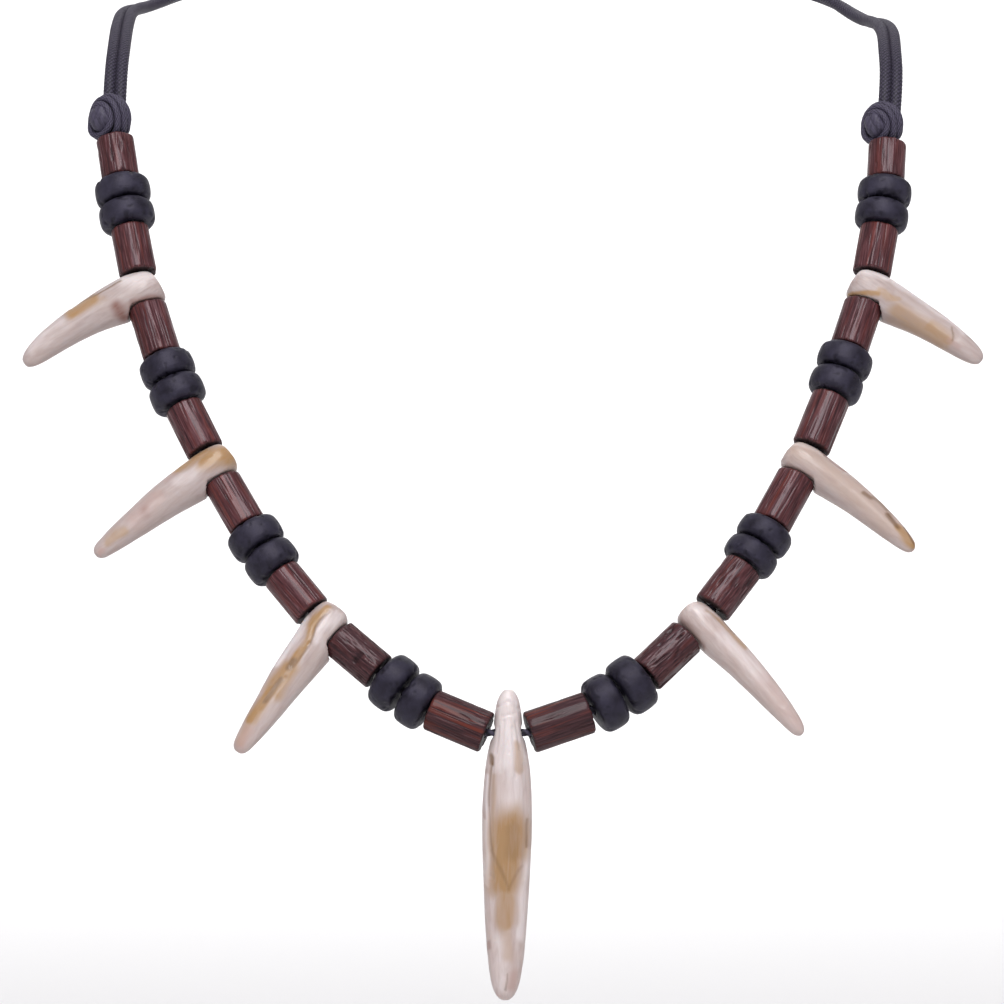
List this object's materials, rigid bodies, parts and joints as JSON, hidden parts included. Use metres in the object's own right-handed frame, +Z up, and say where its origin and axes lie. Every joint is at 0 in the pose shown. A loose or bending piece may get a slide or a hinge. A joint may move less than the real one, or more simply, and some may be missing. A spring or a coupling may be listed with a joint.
{
  "type": "tooth necklace",
  "caption": "Neck string of turned dark wood tubes, black discs and curved teeth with a long middle tooth, hung from doubled black cords with a ball knot at each side.",
  "frame": {"origin": "the nape: the neck's side of the closing knot, at the middle of the cords behind the neck", "axes": "+Z up, +X to the right as seen from in front, and -Y forward, from the nape to the middle tooth"},
  "size_m": [0.1423, 0.1162, 0.1638],
  "materials": {
    "dark_wood": "polished with open grain",
    "black_disc": "matte black with a soft sheen",
    "tooth": "glossy cream with tan stains",
    "black_cord": "waxed braid"
  },
  "bodies": {
    "string": {"wood_tube_left_1": "dark_wood", "wood_tube_left_2": "dark_wood", "wood_tube_left_3": "dark_wood", "wood_tube_left_4": "dark_wood", "wood_tube_left_5": "dark_wood", "wood_tube_left_6": "dark_wood", "wood_tube_left_7": "dark_wood", "wood_tube_left_8": "dark_wood", "wood_tube_right_1": "dark_wood", "wood_tube_right_2": "dark_wood", "wood_tube_right_3": "dark_wood", "wood_tube_right_4": "dark_wood", "wood_tube_right_5": "dark_wood", "wood_tube_right_6": "dark_wood", "wood_tube_right_7": "dark_wood", "wood_tube_right_8": "dark_wood", "black_disc_left_1": "black_disc", "black_disc_left_2": "black_disc", "black_disc_left_3": "black_disc", "black_disc_left_4": "black_disc", "black_disc_left_5": "black_disc", "black_disc_left_6": "black_disc", "black_disc_left_7": "black_disc", "black_disc_left_8": "black_disc", "black_disc_right_1": "black_disc", "black_disc_right_2": "black_disc", "black_disc_right_3": "black_disc", "black_disc_right_4": "black_disc", "black_disc_right_5": "black_disc", "black_disc_right_6": "black_disc", "black_disc_right_7": "black_disc", "black_disc_right_8": "black_disc", "tooth_left_1": "tooth", "tooth_left_2": "tooth", "tooth_left_3": "tooth", "tooth_right_1": "tooth", "tooth_right_2": "tooth", "tooth_right_3": "tooth", "knot_left": "black_cord", "knot_right": "black_cord", "neck_cord_left_outer": "black_cord", "neck_cord_left_inner": "black_cord", "neck_cord_right_outer": "black_cord", "neck_cord_right_inner": "black_cord", "bead_thread": "black_cord", "nape_slide_knot": "black_cord"},
    "tooth": {"centre_tooth": "tooth"}
  },
  "joints": [
    {"name": "centre_tooth_swing", "type": "hinge", "parent": "string", "child": "tooth", "pos_m": [0, -0.108, -0.1229], "axis": [-1, 0, 0], "range_deg": [-30, 90]}
  ]
}
